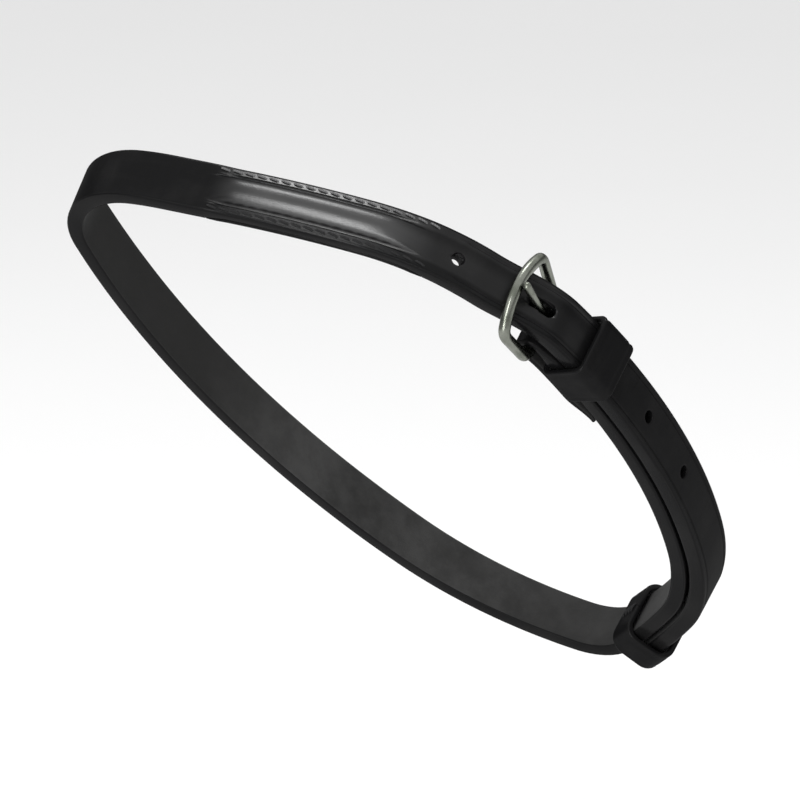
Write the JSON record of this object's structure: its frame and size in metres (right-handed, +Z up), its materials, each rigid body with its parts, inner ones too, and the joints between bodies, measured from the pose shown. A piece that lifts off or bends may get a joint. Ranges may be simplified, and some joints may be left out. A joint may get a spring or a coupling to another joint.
{
  "type": "flash nose strap",
  "caption": "Narrow black leather flash strap for a bridle, buckled into a loop, with a raised padded front, a roller-free buckle and two keepers.",
  "frame": {"origin": "middle of the leather at the seat, the short straight stretch under the noseband's small loop", "axes": "+Z up, -Y towards the horse's front, +X towards the horse's left side; the loop's plane slopes down and back"},
  "size_m": [0.1207, 0.1485, 0.1352],
  "materials": {
    "black_leather": "smooth black bridle leather, semi-gloss grain side",
    "flesh_leather": "dyed dark grey flesh side, matt",
    "filler": "pressed fibre core",
    "black_thread": "waxed black thread",
    "stainless_steel": "polished stainless steel wire"
  },
  "bodies": {
    "strap": {"strap": "black_leather", "front_lining": "flesh_leather", "front_filler": "filler", "front_stitching_upper": "black_thread", "front_stitching_lower": "black_thread", "fixed_keeper": "black_leather", "chape_stitching_upper": "black_thread", "chape_stitching_lower": "black_thread"},
    "buckle_frame": {"buckle_frame": "stainless_steel"},
    "buckle_tongue": {"buckle_tongue": "stainless_steel"},
    "loose_keeper": {"loose_keeper": "black_leather", "loose_keeper_stitching": "black_thread"}
  },
  "joints": [
    {"name": "buckle_frame_tip", "type": "hinge", "parent": "strap", "child": "buckle_frame", "pos_m": [0.06328, 0.04647, -0.03189], "axis": [-0.0454, 0.682, 0.73], "range_deg": [0, 5]},
    {"name": "buckle_tongue_turn", "type": "hinge", "parent": "buckle_frame", "child": "buckle_tongue", "pos_m": [0.06328, 0.04647, -0.03189], "axis": [-0.0454, 0.682, 0.73], "range_deg": [0, 6]},
    {"name": "loose_keeper_slide", "type": "hinge", "parent": "strap", "child": "loose_keeper", "pos_m": [-0.07156, 0.00145, -0.01629], "axis": [-0.147, 0.6917, 0.7071], "range_deg": [-4.4, 0]}
  ]
}
